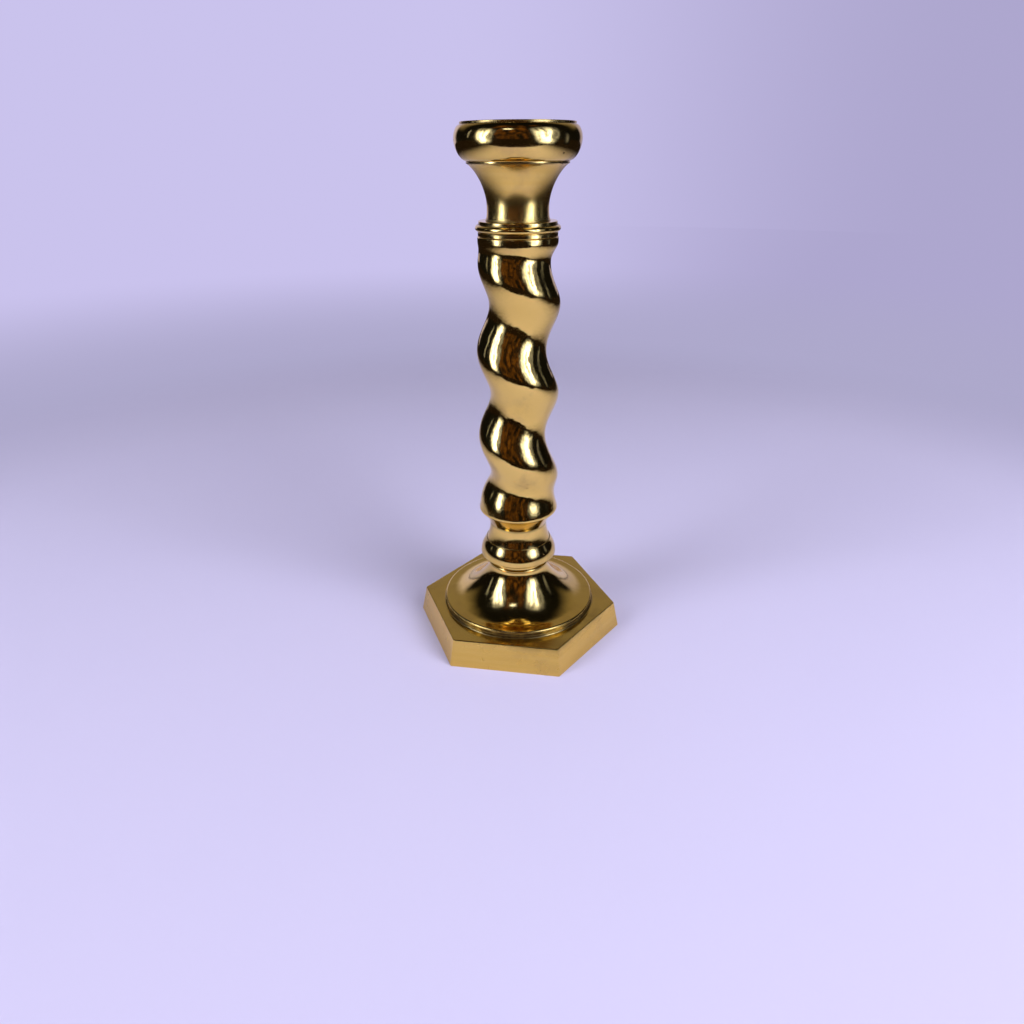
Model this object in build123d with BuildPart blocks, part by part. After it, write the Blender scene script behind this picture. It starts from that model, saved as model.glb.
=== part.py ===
from build123d import *

import os
from math import ceil, cos, radians, sin

# Spiral candlestick in brass: cast and turned sections stacked on a steel tie rod.
# Millimetres, +Z up, origin at the middle of the underside of the foot.
# Two opposite corners of the hexagonal foot lie on the X axis.

# A pull, lean, spread or fullness shapes a curve, as a share of that curve's own rise or width.

# Heights of the stacked members, from the table up
plinth_height = 13.8
disc_height = 3.5
flare_height = 18.3
neck_ring_height = 1.6
neck_height = 3.3
knop_height = 24.4
stem_height = 123.6
collar_height = 5.7
cup_height = 34.8

# Foot: drafted hexagonal plinth, grooved disc, trumpet flare and neck
plinth_flats_bottom = 90.5
plinth_flats_top = 85.4
plinth_corner_round = 0.8
plinth_edge_round = 0.4
plinth_wall = 3.5
plinth_roof = 3.6
disc_radius = 37.5
disc_edge_round = 1.1
disc_groove_height = 1.3
disc_groove_width = 0.4
disc_groove_depth = 0.35
disc_margin = 4.0
flare_foot_pull = 7.5
flare_neck_pull = 6.0
flare_wall = 3.6
neck_radius = 14.3
neck_ring_bulge = 0.9
web_thickness = 11.5
cavity_top_radius = 11.0

# Knop: flared crown, short neck, cove, fine ledge and bell-shaped belly
knop_neck_radius = 13.75
knop_neck_drop = 7.9
knop_shoulder_radius = 15.4
knop_shoulder_height = 8.7
knop_ledge = 0.3
knop_belly_radius = 18.5
knop_edge_round = 0.8
knop_crown_radius = 17.0
knop_crown_height = 6.7
knop_crown_land = 0.5
knop_web = 7.0
knop_belly_fullness = 0.51
knop_belly_lean = 0.34
knop_belly_top_pull = 0.25
knop_cove_lean = 0.58
knop_cove_foot_pull = 0.31
knop_cove_neck_pull = 0.34
knop_crown_lean = 0.35

# Stem: round section whose centre winds round the axis, left-handed
twist_pitch = 39.0
twist_start = 178.5
twist_throw = 2.83
twist_foot_fade = 17.2
twist_top_fade = 28.0
twist_radius_bottom = 15.36
twist_radius_top = 15.15
twist_sections_per_turn = 18
bell_radius = 18.7
bell_height = 28.0
bell_power = 1.95
bell_edge_height = 1.4
bell_edge_round = 1.0
band_radius = 16.6
band_height = 3.2
band_edge_round = 0.6
band_cove_height = 6.0
band_cove_power = 1.8
stem_web = 8.0

# Collar: fillet, groove, half-round bead and shoulder
collar_fillet_radius = 16.35
collar_fillet_height = 1.5
collar_groove_width = 0.3
collar_groove_depth = 0.45
collar_bead_height = 2.5
collar_bead_bulge = 1.4
collar_shoulder_radius = 16.05

# Candle cup: cavetto, torus rim, upright lip, dished top and candle socket
cup_foot_radius = 13.2
cup_waist_radius = 12.53
cup_waist_height = 5.3
cavetto_top_radius = 20.3
cavetto_top_height = 20.7
rim_fillet_height = 0.7
rim_radius = 24.9
rim_widest_height = 29.2
lip_radius = 22.4
lip_height = 0.9
lip_width = 1.3
dish_depth = 4.2
dish_corner = 3.6
socket_radius = 11.3
socket_depth = 20.0
socket_edge_round = 0.8
socket_floor_thickness = 1.8
cup_foot_pull = 0.25
cup_waist_pull = 0.4
cavetto_foot_pull = 0.4
cavetto_lean = 0.54
cavetto_top_pull = 0.125
rim_foot_spread = 0.52
rim_foot_pull = 0.08
rim_fullness = 0.45
rim_top_spread = 0.56

# Spigots that centre each section in the next
spigot_radius = 9.0
spigot_height = 3.0
spigot_clearance = 0.2
spigot_end_gap = 0.3

# Tie rod and the hardware under the foot
rod_radius = 4.0
rod_clearance = 0.3
rod_tip_gap = 0.5
rod_tail = 3.0
rod_chamfer = 0.8
thread_clearance = 0.1
nut_flats = 13.0
nut_height = 6.5
nut_chamfer = 0.6
washer_radius = 8.0
washer_thickness = 1.6
washer_clearance = 0.2
spring_washer_radius = 7.2
spring_washer_thickness = 2.0
spring_washer_gap = 1.2
spring_washer_lean = 20.0

# Levels that follow from the heights
disc_top = plinth_height + disc_height
flare_top = disc_top + flare_height
neck_ring_top = flare_top + neck_ring_height
knop_seat = neck_ring_top + neck_height
stem_seat = knop_seat + knop_height
collar_seat = stem_seat + stem_height
cup_seat = collar_seat + collar_height
cup_top = cup_seat + cup_height
plinth_ceiling = plinth_height - plinth_roof
web_bottom = knop_seat - web_thickness
dish_floor = cup_top - dish_depth
socket_floor = dish_floor - socket_depth
tapped_top = socket_floor - socket_floor_thickness
rod_top = tapped_top - rod_tip_gap
washer_bottom = web_bottom - washer_thickness
spring_washer_bottom = washer_bottom - spring_washer_thickness
nut_bottom = spring_washer_bottom - nut_height
rod_bottom = nut_bottom - rod_tail

# Radii that follow from the fits
rod_hole_radius = rod_radius + rod_clearance
tapped_radius = rod_radius + thread_clearance
washer_hole_radius = rod_radius + washer_clearance
recess_radius = spigot_radius + spigot_clearance
recess_depth = spigot_height + spigot_end_gap

os.makedirs("parts", exist_ok=True)


def drill(radius: float, bottom: float, top: float) -> None:
    """Cuts an upright round hole on the axis of the part that is being built, between two levels."""
    upward = (Align.CENTER, Align.CENTER, Align.MIN)
    with Locations((0, 0, bottom)):
        Cylinder(radius, top - bottom, align=upward, mode=Mode.SUBTRACT)


def between(start: float, end: float, share: float) -> float:
    """Value that lies a share of the way from start to end."""
    return start + share * (end - start)


def half_flats(level: float) -> float:
    """Distance from the axis to a side of the drafted plinth at a level."""
    return between(plinth_flats_bottom, plinth_flats_top, level / plinth_height) / 2


# Foot: the plinth is lofted, the rest is turned, and the underside is hollow
margin_radius = disc_radius - disc_margin
flare_pull_radius = margin_radius - flare_foot_pull
disc_groove_radius = disc_radius - disc_groove_depth
disc_groove_bottom = plinth_height + disc_groove_height
disc_groove_top = disc_groove_bottom + disc_groove_width
with BuildPart() as foot:
    for level in (0, plinth_height):
        with BuildSketch(Plane.XY.offset(level)):
            RegularPolygon(half_flats(level), 6, major_radius=False)
    loft(ruled=True)
    fillet(foot.edges().group_by(Axis.Z)[1], plinth_corner_round)
    fillet(foot.faces().sort_by(Axis.Z)[-1].edges(), plinth_edge_round)
    fillet(foot.faces().sort_by(Axis.Z)[0].edges(), plinth_edge_round)
    with BuildSketch(Plane.XZ):
        with BuildLine():
            Polyline(
                (0, knop_seat + spigot_height),
                (0, plinth_ceiling),
                (disc_radius, plinth_ceiling),
                (disc_radius, disc_groove_bottom),
                (disc_groove_radius, disc_groove_bottom),
                (disc_groove_radius, disc_groove_top),
                (disc_radius, disc_groove_top),
                (disc_radius, disc_top - disc_edge_round),
            )
            RadiusArc(
                (disc_radius, disc_top - disc_edge_round),
                (disc_radius - disc_edge_round, disc_top),
                -disc_edge_round,
            )
            Line((disc_radius - disc_edge_round, disc_top), (margin_radius, disc_top))
            Bezier(
                (margin_radius, disc_top),
                (flare_pull_radius, disc_top),
                (neck_radius, flare_top - flare_neck_pull),
                (neck_radius, flare_top),
            )
            ThreePointArc(
                (neck_radius, flare_top),
                (neck_radius + neck_ring_bulge, (flare_top + neck_ring_top) / 2),
                (neck_radius, neck_ring_top),
            )
            Polyline(
                (neck_radius, neck_ring_top),
                (neck_radius, knop_seat),
                (spigot_radius, knop_seat),
                (spigot_radius, knop_seat + spigot_height),
                (0, knop_seat + spigot_height),
            )
        make_face()
    revolve(axis=Axis.Z)
    for level in (0, plinth_ceiling):
        with BuildSketch(Plane.XY.offset(level)):
            RegularPolygon(half_flats(level) - plinth_wall, 6, major_radius=False)
    loft(ruled=True, mode=Mode.SUBTRACT)
    with BuildSketch(Plane.XZ):
        with BuildLine():
            Polyline(
                (0, web_bottom),
                (0, 0),
                (margin_radius, 0),
                (margin_radius, disc_top - flare_wall),
            )
            Bezier(
                (margin_radius, disc_top - flare_wall),
                (flare_pull_radius, disc_top - flare_wall),
                (cavity_top_radius, web_bottom - flare_neck_pull),
                (cavity_top_radius, web_bottom),
            )
            Line((cavity_top_radius, web_bottom), (0, web_bottom))
        make_face()
    revolve(axis=Axis.Z, mode=Mode.SUBTRACT)
    drill(rod_hole_radius, web_bottom, knop_seat + spigot_height)

# Knop: turned, and cored out from below up to its web
knop_belly_level = knop_seat + knop_edge_round
knop_ledge_level = knop_seat + knop_shoulder_height
knop_ledge_radius = knop_shoulder_radius + knop_ledge
knop_neck_bottom = stem_seat - knop_neck_drop
knop_crown_bottom = stem_seat - knop_crown_height
knop_crown_top = stem_seat - knop_crown_land
with BuildPart() as knop:
    with BuildSketch(Plane.XZ):
        with BuildLine():
            Polyline(
                (0, stem_seat + spigot_height),
                (0, knop_seat),
                (knop_belly_radius - knop_edge_round, knop_seat),
            )
            RadiusArc(
                (knop_belly_radius - knop_edge_round, knop_seat),
                (knop_belly_radius, knop_belly_level),
                -knop_edge_round,
            )
            Bezier(
                (knop_belly_radius, knop_belly_level),
                (knop_belly_radius, between(knop_belly_level, knop_ledge_level, knop_belly_fullness)),
                (
                    between(knop_shoulder_radius, knop_belly_radius, knop_belly_lean),
                    between(knop_ledge_level, knop_belly_level, knop_belly_top_pull),
                ),
                (knop_ledge_radius, knop_ledge_level),
            )
            Line((knop_ledge_radius, knop_ledge_level), (knop_shoulder_radius, knop_ledge_level))
            Bezier(
                (knop_shoulder_radius, knop_ledge_level),
                (
                    between(knop_shoulder_radius, knop_neck_radius, knop_cove_lean),
                    between(knop_ledge_level, knop_neck_bottom, knop_cove_foot_pull),
                ),
                (knop_neck_radius, between(knop_neck_bottom, knop_ledge_level, knop_cove_neck_pull)),
                (knop_neck_radius, knop_neck_bottom),
            )
            Line((knop_neck_radius, knop_neck_bottom), (knop_neck_radius, knop_crown_bottom))
            Bezier(
                (knop_neck_radius, knop_crown_bottom),
                (
                    between(knop_neck_radius, knop_crown_radius, knop_crown_lean),
                    (knop_crown_bottom + knop_crown_top) / 2,
                ),
                (knop_crown_radius, knop_crown_top),
            )
            Polyline(
                (knop_crown_radius, knop_crown_top),
                (knop_crown_radius, stem_seat),
                (spigot_radius, stem_seat),
                (spigot_radius, stem_seat + spigot_height),
                (0, stem_seat + spigot_height),
            )
        make_face()
    revolve(axis=Axis.Z)
    drill(recess_radius, knop_seat, stem_seat - knop_web)
    drill(rod_hole_radius, knop_seat, stem_seat + spigot_height)

# Stem: the twist swells into a bell at its foot and dies into a cove under the round band at its top
twist_bottom = stem_seat + bell_edge_height
twist_top = collar_seat - band_height


def ease(share: float) -> float:
    """Smooth step from 0 to 1."""
    share = min(max(share, 0.0), 1.0)
    return share * share * (3 - 2 * share)


def twist_section(level: float) -> tuple[float, float, float]:
    """Centre and radius of the stem's round section at a level."""
    rise = level - twist_bottom
    along = rise / (twist_top - twist_bottom)
    bell_share = max(1 - rise / bell_height, 0.0) ** bell_power
    band_share = max(1 - (twist_top - level) / band_cove_height, 0.0) ** band_cove_power
    plain_radius = between(twist_radius_bottom, twist_radius_top, along)
    belled_radius = between(plain_radius, bell_radius, bell_share)
    radius = between(belled_radius, band_radius, band_share)
    dying = max(1 - (collar_seat - level) / twist_top_fade, 0.0) ** 2
    throw = twist_throw * ease(rise / twist_foot_fade) * (1 - dying) * (1 - band_share)
    angle = radians(twist_start - 360 * (level - stem_seat) / twist_pitch)
    return throw * cos(angle), throw * sin(angle), radius


twist_steps = ceil(twist_sections_per_turn * (twist_top - twist_bottom) / twist_pitch)
with BuildPart() as stem:
    for step in range(twist_steps + 1):
        level = between(twist_bottom, twist_top, step / twist_steps)
        centre_x, centre_y, section_radius = twist_section(level)
        with BuildSketch(Plane((centre_x, centre_y, level))):
            Circle(section_radius)
    loft()
    with BuildSketch(Plane.XY.offset(stem_seat)):
        Circle(bell_radius)
    extrude(amount=bell_edge_height)
    with BuildSketch(Plane.XY.offset(twist_top)):
        Circle(band_radius)
    extrude(amount=band_height)
    fillet(stem.faces().sort_by(Axis.Z)[0].edges(), bell_edge_round)
    fillet(stem.faces().sort_by(Axis.Z)[-1].edges(), band_edge_round)
    drill(recess_radius, stem_seat, collar_seat - stem_web)
    drill(recess_radius, collar_seat - recess_depth, collar_seat)
    drill(rod_hole_radius, stem_seat, collar_seat)

# Collar: turned ring between the stem and the cup
collar_groove_bottom = collar_seat + collar_fillet_height
collar_bead_bottom = collar_groove_bottom + collar_groove_width
collar_bead_top = collar_bead_bottom + collar_bead_height
collar_groove_radius = collar_fillet_radius - collar_groove_depth
with BuildPart() as collar:
    with BuildSketch(Plane.XZ):
        with BuildLine():
            Polyline(
                (0, cup_seat),
                (0, collar_seat - spigot_height),
                (spigot_radius, collar_seat - spigot_height),
                (spigot_radius, collar_seat),
                (collar_fillet_radius, collar_seat),
                (collar_fillet_radius, collar_groove_bottom),
                (collar_groove_radius, collar_groove_bottom),
                (collar_groove_radius, collar_bead_bottom),
                (collar_shoulder_radius, collar_bead_bottom),
            )
            ThreePointArc(
                (collar_shoulder_radius, collar_bead_bottom),
                (collar_shoulder_radius + collar_bead_bulge, (collar_bead_bottom + collar_bead_top) / 2),
                (collar_shoulder_radius, collar_bead_top),
            )
            Polyline(
                (collar_shoulder_radius, collar_bead_top),
                (collar_shoulder_radius, cup_seat),
                (0, cup_seat),
            )
        make_face()
    revolve(axis=Axis.Z)
    drill(recess_radius, cup_seat - recess_depth, cup_seat)
    drill(rod_hole_radius, collar_seat - spigot_height, cup_seat)

# Candle cup: turned, with a dished top round the candle socket and a tapped foot
cup_waist = cup_seat + cup_waist_height
cavetto_top = cup_seat + cavetto_top_height
rim_bottom = cavetto_top + rim_fillet_height
rim_widest = cup_seat + rim_widest_height
lip_bottom = cup_top - lip_height
dish_radius = lip_radius - lip_width
with BuildPart() as candle_cup:
    with BuildSketch(Plane.XZ):
        with BuildLine():
            Polyline(
                (0, socket_floor),
                (0, cup_seat - spigot_height),
                (spigot_radius, cup_seat - spigot_height),
                (spigot_radius, cup_seat),
                (cup_foot_radius, cup_seat),
            )
            Bezier(
                (cup_foot_radius, cup_seat),
                (cup_waist_radius, between(cup_seat, cup_waist, cup_foot_pull)),
                (cup_waist_radius, between(cup_waist, cup_seat, cup_waist_pull)),
                (cup_waist_radius, cup_waist),
            )
            Bezier(
                (cup_waist_radius, cup_waist),
                (cup_waist_radius, between(cup_waist, cavetto_top, cavetto_foot_pull)),
                (
                    between(cup_waist_radius, cavetto_top_radius, cavetto_lean),
                    between(cavetto_top, cup_waist, cavetto_top_pull),
                ),
                (cavetto_top_radius, cavetto_top),
            )
            Line((cavetto_top_radius, cavetto_top), (cavetto_top_radius, rim_bottom))
            Bezier(
                (cavetto_top_radius, rim_bottom),
                (
                    between(cavetto_top_radius, rim_radius, rim_foot_spread),
                    between(rim_bottom, rim_widest, rim_foot_pull),
                ),
                (rim_radius, between(rim_widest, rim_bottom, rim_fullness)),
                (rim_radius, rim_widest),
            )
            Bezier(
                (rim_radius, rim_widest),
                (rim_radius, between(rim_widest, lip_bottom, rim_fullness)),
                (between(lip_radius, rim_radius, rim_top_spread), lip_bottom),
                (lip_radius, lip_bottom),
            )
            Polyline(
                (lip_radius, lip_bottom),
                (lip_radius, cup_top),
                (dish_radius, cup_top),
                (dish_radius, dish_floor + dish_corner),
            )
            Bezier(
                (dish_radius, dish_floor + dish_corner),
                (dish_radius, dish_floor),
                (dish_radius - dish_corner, dish_floor),
            )
            Line((dish_radius - dish_corner, dish_floor), (socket_radius + socket_edge_round, dish_floor))
            RadiusArc(
                (socket_radius + socket_edge_round, dish_floor),
                (socket_radius, dish_floor - socket_edge_round),
                -socket_edge_round,
            )
            Polyline(
                (socket_radius, dish_floor - socket_edge_round),
                (socket_radius, socket_floor),
                (0, socket_floor),
            )
        make_face()
    revolve(axis=Axis.Z)
    drill(tapped_radius, cup_seat - spigot_height, tapped_top)

# Tie rod: runs from the nut under the foot to the tapped hole in the cup
with BuildPart() as tie_rod:
    with BuildSketch(Plane.XY.offset(rod_bottom)):
        Circle(rod_radius)
    extrude(amount=rod_top - rod_bottom)
    chamfer(tie_rod.edges().filter_by(GeomType.CIRCLE), rod_chamfer)

# Hardware under the web of the foot: plain washer, spring washer and nut
with BuildPart() as plain_washer:
    with BuildSketch(Plane.XY.offset(washer_bottom)):
        Circle(washer_radius)
        Circle(washer_hole_radius, mode=Mode.SUBTRACT)
    extrude(amount=washer_thickness)

with BuildPart() as spring_washer:
    with BuildSketch(Plane.XY.offset(spring_washer_bottom)):
        Circle(spring_washer_radius)
        Circle(washer_hole_radius, mode=Mode.SUBTRACT)
    extrude(amount=spring_washer_thickness)
    split_plane = Plane(
        (0, 0, spring_washer_bottom + spring_washer_thickness / 2),
        x_dir=(1, 0, 0),
        z_dir=(0, -sin(radians(spring_washer_lean)), cos(radians(spring_washer_lean))),
    )
    with BuildSketch(split_plane):
        Rectangle(2 * spring_washer_radius, spring_washer_gap, align=(Align.MIN, Align.CENTER))
    extrude(amount=2 * spring_washer_thickness, both=True, mode=Mode.SUBTRACT)

with BuildPart() as hex_nut:
    with BuildSketch(Plane.XY.offset(nut_bottom)):
        RegularPolygon(nut_flats / 2, 6, major_radius=False)
        Circle(tapped_radius, mode=Mode.SUBTRACT)
    extrude(amount=nut_height)
    chamfer(hex_nut.edges().filter_by(GeomType.CIRCLE), nut_chamfer)

foot.part.label = "foot"
knop.part.label = "knop"
stem.part.label = "stem"
collar.part.label = "collar"
candle_cup.part.label = "candle_cup"
tie_rod.part.label = "tie_rod"
plain_washer.part.label = "plain_washer"
spring_washer.part.label = "spring_washer"
hex_nut.part.label = "hex_nut"

export_step(foot.part, "parts/foot.step")
export_step(knop.part, "parts/knop.step")
export_step(stem.part, "parts/stem.step")
export_step(collar.part, "parts/collar.step")
export_step(candle_cup.part, "parts/candle_cup.step")
export_step(tie_rod.part, "parts/tie_rod.step")
export_step(plain_washer.part, "parts/plain_washer.step")
export_step(spring_washer.part, "parts/spring_washer.step")
export_step(hex_nut.part, "parts/hex_nut.step")
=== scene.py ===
"""Spiral brass candlestick: dressed meshes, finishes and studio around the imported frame.

Sizes of the pieces are millimetres, and heights count from the table up. Meshes and the studio are in metres.
"""

import logging
import math
from dataclasses import dataclass
from enum import Enum

import bmesh
import bpy
from mathutils import Matrix, Vector

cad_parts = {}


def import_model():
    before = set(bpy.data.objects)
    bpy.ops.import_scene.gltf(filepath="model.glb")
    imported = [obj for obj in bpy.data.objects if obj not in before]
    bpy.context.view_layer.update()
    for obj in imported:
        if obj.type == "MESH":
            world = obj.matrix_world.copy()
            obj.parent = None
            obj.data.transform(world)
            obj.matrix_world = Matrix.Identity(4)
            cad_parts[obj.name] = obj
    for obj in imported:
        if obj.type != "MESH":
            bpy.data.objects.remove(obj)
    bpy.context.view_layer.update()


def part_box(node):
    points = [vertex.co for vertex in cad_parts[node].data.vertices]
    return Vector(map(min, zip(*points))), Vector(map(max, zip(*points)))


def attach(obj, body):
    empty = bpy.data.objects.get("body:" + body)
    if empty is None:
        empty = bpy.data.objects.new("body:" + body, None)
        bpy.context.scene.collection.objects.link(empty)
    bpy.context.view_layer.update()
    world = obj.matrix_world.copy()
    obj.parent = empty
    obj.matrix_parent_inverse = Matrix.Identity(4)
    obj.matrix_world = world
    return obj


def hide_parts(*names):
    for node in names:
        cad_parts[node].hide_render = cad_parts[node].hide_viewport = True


Point = tuple[float, float]
Pair = tuple[float, float]
Spot = tuple[float, float, float]
Colour = tuple[float, float, float]
Ring = list[Spot]
Mesh = bpy.types.Mesh
Node = bpy.types.Node
Socket = bpy.types.NodeSocket

LOG = logging.getLogger("candlestick")
MM = 0.001
SIXTH = math.pi / 3
SEGMENTS = 144
CORNER_TURN = math.radians(20)
CORNER_STEPS = 4
CORNER_REACH = 0.4
NORMAL_WEIGHT = 60
UNTURNED: Spot = (0.0, 0.0, 0.0)
SKY: Colour = (0.84, 0.83, 1.0)


class Slot(Enum):
    """Material slots of the record."""

    POLISHED = "polished_brass"
    SATIN = "satin_brass"
    ROD = "rod_steel"
    PLATED = "plated_steel"


class Body(Enum):
    """Bodies of the record that the pieces ride on."""

    STAND = "stand"
    COLLAR = "collar_ring"
    CUP = "cup"


class Channel(Enum):
    """Vertex attributes that the finishes read."""

    # holds painted shade for creases, joints and hollows, with some oxide, that darkens the brass
    GRIME_AND_SHADE = "grime_and_shade"
    SATIN = "satin"


def between(start: float, end: float, share: float) -> float:
    """Value that lies a share of the way from start to end."""
    return start + share * (end - start)


def mixed(start: Point, end: Point, share: float) -> Point:
    """Point that lies a share of the way from start to end."""
    return between(start[0], end[0], share), between(start[1], end[1], share)


def limited(value: float) -> float:
    """Value kept between 0 and 1."""
    return min(max(value, 0.0), 1.0)


def ease(share: float) -> float:
    """Smooth step from 0 to 1."""
    share = limited(share)
    return share * share * (3 - 2 * share)


def width(spot: Spot) -> float:
    """Distance of a point from the axis."""
    return math.hypot(spot[0], spot[1])


def arc(middle: Point, radius: float, start: float, end: float, steps: int) -> list[Point]:
    """Points along an arc, with both of its ends.

    Args:
        middle: Centre of the arc.
        radius: Radius of the arc.
        start: Angle where it starts.
        end: Angle where it ends.
        steps: Number of straight runs that it is made of.

    Returns:
        The points in order.
    """
    turns = [between(start, end, i / steps) for i in range(steps + 1)]
    return [(middle[0] + radius * math.cos(t), middle[1] + radius * math.sin(t)) for t in turns]


def uneven_ring(radii: list[float], height: float, middle: Point = (0.0, 0.0)) -> Ring:
    """Level ring of points, each at its own distance from the middle.

    Args:
        radii: Distance of each point.
        height: Level of the ring.
        middle: Centre of the ring, seen from above.

    Returns:
        The points, anticlockwise from the X axis.
    """
    turns = [math.tau * i / len(radii) for i in range(len(radii))]
    return [(middle[0] + r * math.cos(t), middle[1] + r * math.sin(t), height) for r, t in zip(radii, turns)]


def circle(radius: float, height: float, count: int = SEGMENTS, middle: Point = (0.0, 0.0)) -> Ring:
    """Level circle of points, anticlockwise from the X axis."""
    return uneven_ring([radius] * count, height, middle)


@dataclass
class Seam:
    """Place on a half section that is darkened with painted shade, with some oxide and old polish, in its
    crease or joint.
    """

    radius: float
    height: float
    reach: float
    depth: float

    def at(self, spot: Spot) -> float:
        """Amount of painted shade, with some oxide, at a point."""
        away = math.hypot(width(spot) - self.radius, spot[2] - self.height)
        return self.depth * math.exp(-((away / self.reach) ** 2))


@dataclass
class Profile:
    """Half section of a turned piece, as (radius, height) points."""

    points: list[Point]

    def across(self, *ways: float) -> None:
        """Adds square steps: across to a radius, up or down to a height, across again and so on.

        Args:
            ways: The radii and heights in turn.
        """
        for i, way in enumerate(ways):
            radius, height = self.points[-1]
            self.points.append((radius, way) if i % 2 else (way, height))

    def upright(self, height: float, *ways: float) -> None:
        """Adds square steps that start up or down to a height."""
        self.points.append((self.points[-1][0], height))
        self.across(*ways)

    def run(self, end: Point, steps: int) -> None:
        """Adds one straight run in equal steps."""
        start = self.points[-1]
        self.points += [mixed(start, end, i / steps) for i in range(1, steps + 1)]

    def curve(self, near: Point, far: Point, end: Point, steps: int = 18) -> None:
        """Adds a cubic curve from the last point.

        Args:
            near: Handle next to the last point.
            far: Handle next to the end.
            end: Where the curve ends.
            steps: Number of straight runs that it is made of.
        """
        knots = (self.points[-1], near, far, end)
        for i in range(1, steps + 1):
            t = i / steps
            weights = ((1 - t) ** 3, 3 * t * (1 - t) ** 2, 3 * t * t * (1 - t), t**3)
            self.points.append(tuple(sum(w * k[axis] for w, k in zip(weights, knots)) for axis in (0, 1)))

    def bow(self, near: Pair, far: Pair, end: Point, steps: int = 18) -> None:
        """Adds a cubic curve whose handles are given as shares of its way across and of its way up.

        Args:
            near: Shares for the handle next to the last point.
            far: Shares for the handle next to the end.
            end: Where the curve ends.
            steps: Number of straight runs that it is made of.
        """
        start = self.points[-1]
        handles = [(between(start[0], end[0], a), between(start[1], end[1], b)) for a, b in (near, far)]
        self.curve(*handles, end, steps)

    def sweep(self, handle: Point, end: Point, steps: int = 12) -> None:
        """Adds a curve with one handle, shared by its two ends."""
        near, far = (mixed(point, handle, 2 / 3) for point in (self.points[-1], end))
        self.curve(near, far, end, steps)

    def quarter(self, corner: Point, end: Point, steps: int = 6) -> None:
        """Adds a quarter round from the last point.

        Args:
            corner: Sharp corner that the round takes off.
            end: Where the round ends.
            steps: Number of straight runs that it is made of.
        """
        knots = tuple(zip(self.points[-1], corner, end))
        for i in range(1, steps + 1):
            turn = math.pi / 2 * i / steps
            on, up = math.cos(turn), math.sin(turn)
            self.points.append(tuple(s + e - c + (c - e) * on + (c - s) * up for s, c, e in knots))

    def bead(self, bulge: float, end: float, steps: int) -> None:
        """Adds an arc that stands proud of an upright run.

        Args:
            bulge: How far the arc stands out at its middle.
            end: Height where the arc ends, straight above the last point.
            steps: Number of straight runs that it is made of.
        """
        radius, start = self.points[-1]
        half = (end - start) / 2
        bend = (half * half + bulge * bulge) / (2 * bulge)
        reach = math.atan2(half, bend - bulge)
        self.points += arc((radius + bulge - bend, start + half), bend, -reach, reach, steps)[1:]

    def softened(self, radius: float, closed: bool) -> list[Point]:
        """Points with their sharp corners taken off.

        Args:
            radius: Round on each corner, less where a run beside it is short.
            closed: Whether the last point joins the first.

        Returns:
            The softened points.
        """
        made: list[Point] = []
        count = len(self.points)
        for i, here in enumerate(self.points):
            corner = Vector(here)
            before = corner - Vector(self.points[i - 1])
            after = Vector(self.points[(i + 1) % count]) - corner
            turn = before.angle(after) if closed or 0 < i < count - 1 else 0.0
            if turn < CORNER_TURN:
                made.append(here)
                continue
            reach = min(radius * math.tan(turn / 2), CORNER_REACH * min(before.length, after.length))
            start = corner - before.normalized() * reach
            end = corner + after.normalized() * reach
            for step in range(CORNER_STEPS + 1):
                t = step / CORNER_STEPS
                made.append(tuple((1 - t) ** 2 * start + 2 * t * (1 - t) * corner + t * t * end))
        return made

    def rings(self, soft: float, closed: bool, count: int = SEGMENTS) -> list[Ring]:
        """Level circles through the softened points, and single points on the axis."""
        points = self.softened(soft, closed)
        return [circle(r, z, count) if r > 0 else [(0.0, 0.0, z)] for r, z in points]


def skin(name: str, rings: list[Ring], closed: bool = False, capped: bool = False) -> Mesh:
    """Mesh stretched over a chain of rings with equal counts of points, or single points at its ends.

    Args:
        name: Name of the mesh.
        rings: Rings in order, in millimetres.
        closed: Whether the last ring joins the first.
        capped: Whether flat faces close the two ends.

    Returns:
        The mesh, in metres, smooth shaded.
    """
    starts = [0]
    for ring in rings:
        starts.append(starts[-1] + len(ring))
    faces: list[tuple[int, ...]] = []
    for k in range(len(rings) if closed else len(rings) - 1):
        j = (k + 1) % len(rings)
        here, there = starts[k], starts[j]
        count = max(len(rings[k]), len(rings[j]))
        for i in range(count):
            n = (i + 1) % count
            if len(rings[k]) == 1:
                faces.append((here, there + n, there + i))
            elif len(rings[j]) == 1:
                faces.append((here + i, here + n, there))
            else:
                faces.append((here + i, here + n, there + n, there + i))
    if capped:
        faces.append(tuple(range(starts[0], starts[1])))
        faces.append(tuple(range(starts[-2], starts[-1])))
    mesh = bpy.data.meshes.new(name)
    mesh.from_pydata([(x * MM, y * MM, z * MM) for ring in rings for x, y, z in ring], [], faces)
    work = bmesh.new()
    work.from_mesh(mesh)
    bmesh.ops.recalc_face_normals(work, faces=work.faces)
    work.to_mesh(mesh)
    work.free()
    mesh.shade_smooth()
    return mesh


def paint(mesh: Mesh, channel: Channel, values: list[float]) -> None:
    """Stores one number for each vertex of a mesh under a channel's name."""
    layer = mesh.attributes.new(channel.value, "FLOAT", "POINT")
    layer.data.foreach_set("value", values)


def put(name: str, data: bpy.types.ID) -> bpy.types.Object:
    """Adds an object to the scene.

    Args:
        name: Name of the object.
        data: What it shows: a mesh or a camera.

    Returns:
        The object.
    """
    made = bpy.data.objects.new(name, data)
    bpy.context.scene.collection.objects.link(made)
    return made


def rgba(colour: Colour | Socket) -> tuple[float, ...] | Socket:
    """Colour with full alpha, or a socket as it is."""
    return (*colour, 1.0) if isinstance(colour, tuple) else colour


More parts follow.
